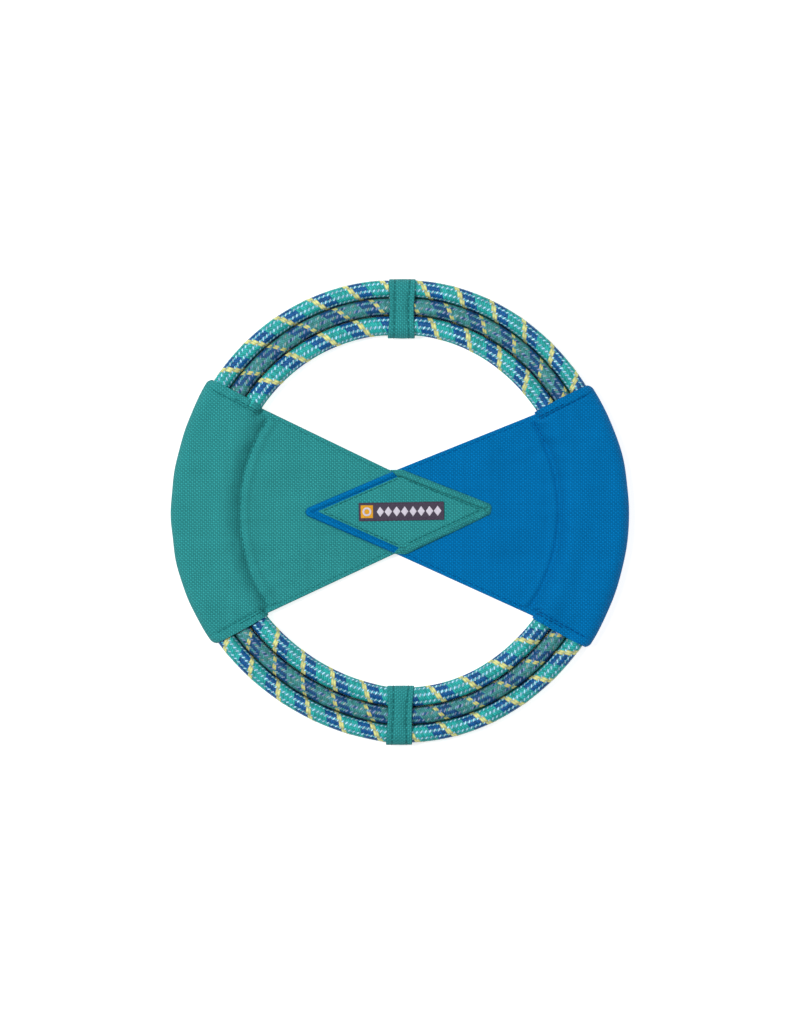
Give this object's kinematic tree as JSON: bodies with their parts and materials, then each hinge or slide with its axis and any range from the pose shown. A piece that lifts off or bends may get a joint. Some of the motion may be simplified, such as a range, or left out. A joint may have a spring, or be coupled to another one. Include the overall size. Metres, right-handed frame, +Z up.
{
  "type": "flying ring",
  "caption": "Soft flying ring: concentric hoops of braided cord held by two folded fabric wings that cross at a centre patch, and by two narrow fabric keeper bands.",
  "frame": {"origin": "middle of the ring's outline, on the surface that the ring lies on", "axes": "+Z up through the ring, out of the face with the label; +Y from the centre towards the top keeper band; +X towards the blue wing"},
  "size_m": [0.2296, 0.2331, 0.0123],
  "materials": {
    "teal_fabric": "coated plain-weave nylon, matte",
    "blue_fabric": "coated plain-weave nylon, matte",
    "cord_sheath": "round braid of teal, white, blue and yellow yarns",
    "dull_cord_sheath": "round braid with mauve-grey yarns among the teal, blue and yellow",
    "cord_core": "undyed parallel yarns",
    "cord_weld": "melted and fused yarn",
    "teal_thread": "sewing thread",
    "blue_thread": "sewing thread",
    "label_ribbon": "fine woven ribbon",
    "label_thread": "sewing thread"
  },
  "bodies": {
    "root": {"outer_cord_sheath": "cord_sheath", "outer_cord_core": "cord_core", "outer_cord_weld": "cord_weld", "middle_cord_sheath": "dull_cord_sheath", "middle_cord_core": "cord_core", "middle_cord_weld": "cord_weld", "inner_cord_sheath": "cord_sheath", "inner_cord_core": "cord_core", "inner_cord_weld": "cord_weld", "left_wing": "teal_fabric", "right_wing": "blue_fabric", "left_wing_channel_seam": "teal_thread", "left_wing_upper_edge_stitching": "teal_thread", "left_wing_lower_edge_stitching": "teal_thread", "left_wing_upper_hem_stitching": "teal_thread", "left_wing_lower_hem_stitching": "teal_thread", "right_wing_channel_seam": "blue_thread", "right_wing_upper_edge_stitching": "blue_thread", "right_wing_lower_edge_stitching": "blue_thread", "right_wing_upper_hem_stitching": "blue_thread", "right_wing_lower_hem_stitching": "blue_thread", "top_keeper_band": "teal_fabric", "bottom_keeper_band": "teal_fabric", "top_band_left_stitching": "teal_thread", "top_band_right_stitching": "teal_thread", "bottom_band_left_stitching": "teal_thread", "bottom_band_right_stitching": "teal_thread", "centre_patch": "teal_fabric", "centre_patch_stitching": "teal_thread", "woven_label": "label_ribbon", "label_stitching": "label_thread"}
  },
  "joints": []
}
